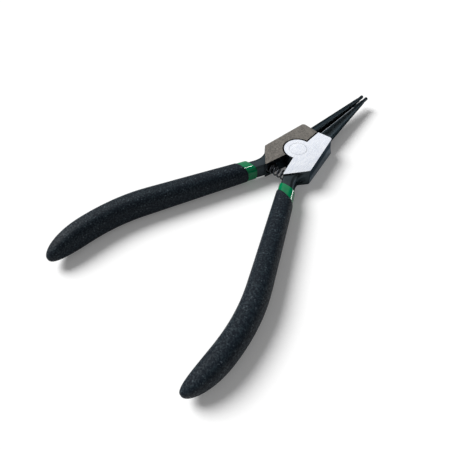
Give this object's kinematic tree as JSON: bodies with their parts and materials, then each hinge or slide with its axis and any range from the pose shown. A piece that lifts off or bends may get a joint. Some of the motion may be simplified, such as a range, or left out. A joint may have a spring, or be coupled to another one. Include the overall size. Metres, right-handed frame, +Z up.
{
  "type": "circlip pliers",
  "caption": "External circlip pliers with slim straight jaws and round tips, a riveted lap joint, a return spring and dip-moulded handle grips.",
  "frame": {"origin": "pivot axis on the ground underside of the head", "axes": "+Y from the pivot to the tips, +Z up along the rivet, +X toward the handle whose eye lies on top"},
  "size_m": [0.0892, 0.1755, 0.0122],
  "materials": {
    "ground_steel": "ground bright faces on a blackened forging",
    "grey_steel": "ground grey faces on a blackened forging",
    "rivet_steel": "ground flush",
    "spring_steel": "oil-blackened wire",
    "green_dip": "glossy dip coat",
    "black_dip": "fine-grained dip coat"
  },
  "bodies": {
    "right_side": {"right_half": "ground_steel", "pivot_rivet": "rivet_steel", "return_spring": "spring_steel", "right_grip_liner": "green_dip", "right_grip": "black_dip"},
    "left_side": {"left_half": "grey_steel", "left_grip_liner": "green_dip", "left_grip": "black_dip"}
  },
  "joints": [
    {"name": "pivot", "type": "hinge", "parent": "right_side", "child": "left_side", "pos_m": [0, 0, 0.0042], "axis": [0, 0, 1], "range_deg": [0, 28], "stiffness_Nm_per_rad": 0.6, "springref_deg": -11.46, "deforming": ["return_spring"]}
  ]
}
